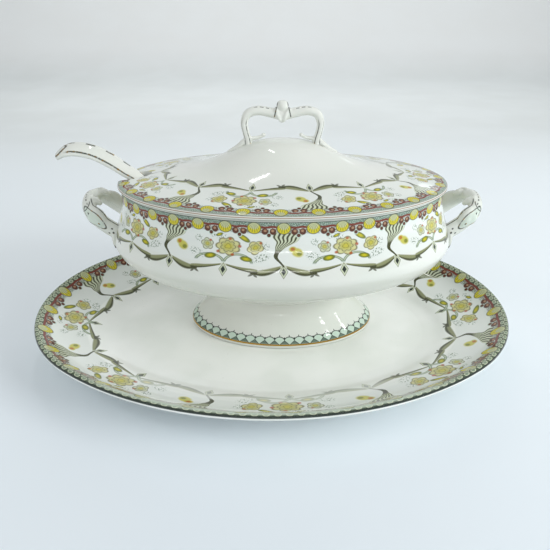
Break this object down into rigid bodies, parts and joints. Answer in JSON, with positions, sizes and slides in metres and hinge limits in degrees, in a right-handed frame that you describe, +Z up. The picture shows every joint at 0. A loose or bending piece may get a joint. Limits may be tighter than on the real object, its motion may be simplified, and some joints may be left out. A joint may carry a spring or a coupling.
{
  "type": "soup tureen",
  "caption": "Oval footed soup tureen with loop handles, a domed lid with a ladle notch, a ladle and an oval stand.",
  "frame": {"origin": "middle of the stand's footprint, on the table", "axes": "+X along the length, the ladle leaves at -X; -Y is the front; +Z up"},
  "size_m": [0.4, 0.31, 0.2003],
  "materials": {
    "stand_glaze": "glossy white glaze over a printed border",
    "bowl_glaze": "glossy white glaze over printed bands",
    "lid_glaze": "glossy white glaze over a printed border",
    "handle_glaze": "glossy white glaze with worn gilt lines",
    "ladle_glaze": "glossy white glaze with worn gilt lines"
  },
  "bodies": {
    "stand": {"stand_dish": "stand_glaze"},
    "tureen": {"tureen_bowl": "bowl_glaze", "tureen_foot": "bowl_glaze", "handle_left": "handle_glaze", "handle_right": "handle_glaze"},
    "lid": {"lid_dome": "lid_glaze", "lid_handle": "handle_glaze"},
    "ladle": {"ladle_bowl": "ladle_glaze", "ladle_handle": "ladle_glaze"}
  },
  "joints": [
    {"name": "tureen_lift", "type": "slide", "parent": "stand", "child": "tureen", "axis": [0, 0, 1], "range_m": [0, 0.08]},
    {"name": "lid_lift", "type": "slide", "parent": "tureen", "child": "lid", "axis": [0, 0, 1], "range_m": [0, 0.12]},
    {"name": "ladle_draw", "type": "slide", "parent": "tureen", "child": "ladle", "axis": [-0.7193, 0, 0.6947], "range_m": [0, 0.05]}
  ]
}
